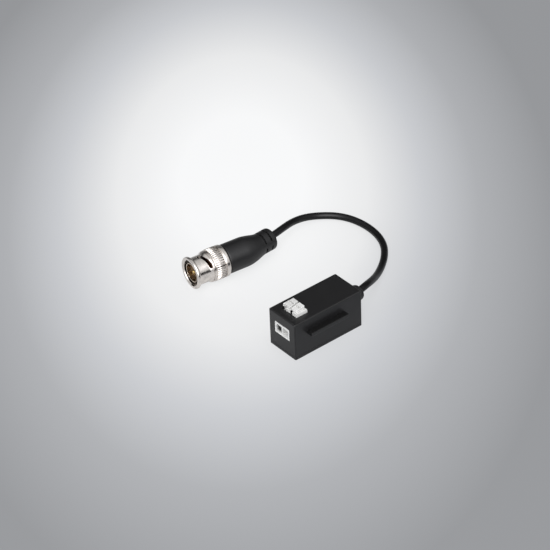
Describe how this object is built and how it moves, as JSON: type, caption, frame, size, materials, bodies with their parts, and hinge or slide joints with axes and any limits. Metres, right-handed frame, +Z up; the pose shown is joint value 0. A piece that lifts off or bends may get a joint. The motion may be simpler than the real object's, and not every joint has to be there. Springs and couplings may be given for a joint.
{
  "type": "video balun",
  "caption": "Small black box with a push-in wire terminal that matches a twisted pair to a short coaxial cord with a moulded bayonet plug.",
  "frame": {"origin": "centre of the box's footprint, on the floor it rests on", "axes": "+Z up, -Y the way the wire entries face, +Y the way the cord leaves the box, +X the side with the rail"},
  "size_m": [0.0699, 0.0764, 0.0186],
  "materials": {
    "housing": "fine moulded satin texture, black",
    "board": "green solder mask over fibreglass",
    "terminal": "smooth moulded, white",
    "button_left": "smooth moulded, light grey",
    "button_right": "smooth moulded, white",
    "spring": "rolled spring steel",
    "contact": "tinned strip",
    "solder": "bright solder",
    "ferrite": "dull dark grey ferrite",
    "copper": "enamelled copper wire",
    "diode": "moulded epoxy, black",
    "chip": "ceramic with tinned ends",
    "relief": "soft moulded, black",
    "jacket": "smooth extruded, satin black",
    "braid": "tinned copper braid",
    "boot": "satin moulded, black",
    "nickel": "bright nickel plate",
    "tube_metal": "bright nickel plate, warm",
    "insulation": "milky white insulator",
    "gold": "gold plate",
    "gasket": "soft, dark grey"
  },
  "bodies": {
    "balun": {"housing_shell": "housing", "bottom_cover": "housing", "circuit_board": "board", "terminal_body": "terminal", "clamp_spring_left": "spring", "clamp_spring_right": "spring", "contact_left": "contact", "contact_right": "contact", "solder_joints": "solder", "transformer_core": "ferrite", "winding_line_side": "copper", "winding_coax_side": "copper", "surge_diode": "diode", "chip_resistors": "chip", "chip_capacitor": "chip", "strain_relief": "relief", "cord": "jacket", "cord_core": "copper", "cord_braid": "braid", "plug_boot": "boot", "contact_tube": "tube_metal", "plug_body": "nickel", "insulator": "insulation", "centre_pin": "gold", "gasket": "gasket", "wave_washer": "spring", "crimp_ferrule": "nickel", "plug_core": "insulation"},
    "button_left": {"release_button_left": "button_left"},
    "button_right": {"release_button_right": "button_right"},
    "sleeve_carrier": {"thrust_washer": "spring"},
    "sleeve": {"coupling_sleeve": "nickel"}
  },
  "joints": [
    {"name": "button_left_press", "type": "slide", "parent": "balun", "child": "button_left", "axis": [0, 0, -1], "range_m": [0, 0.0013], "stiffness_N_per_m": 400, "deforming": ["clamp_spring_left"]},
    {"name": "button_right_press", "type": "slide", "parent": "balun", "child": "button_right", "axis": [0, 0, -1], "range_m": [0, 0.0013], "stiffness_N_per_m": 400, "deforming": ["clamp_spring_right"]},
    {"name": "sleeve_pull", "type": "slide", "parent": "balun", "child": "sleeve_carrier", "axis": [-0.1097, -0.994, 0], "range_m": [0, 0.0005], "stiffness_N_per_m": 1500, "deforming": ["wave_washer"]},
    {"name": "sleeve_turn", "type": "hinge", "parent": "sleeve_carrier", "child": "sleeve", "pos_m": [-0.05271, -0.00775, 0.0064], "axis": [0.1097, 0.994, 0], "continuous": true}
  ]
}
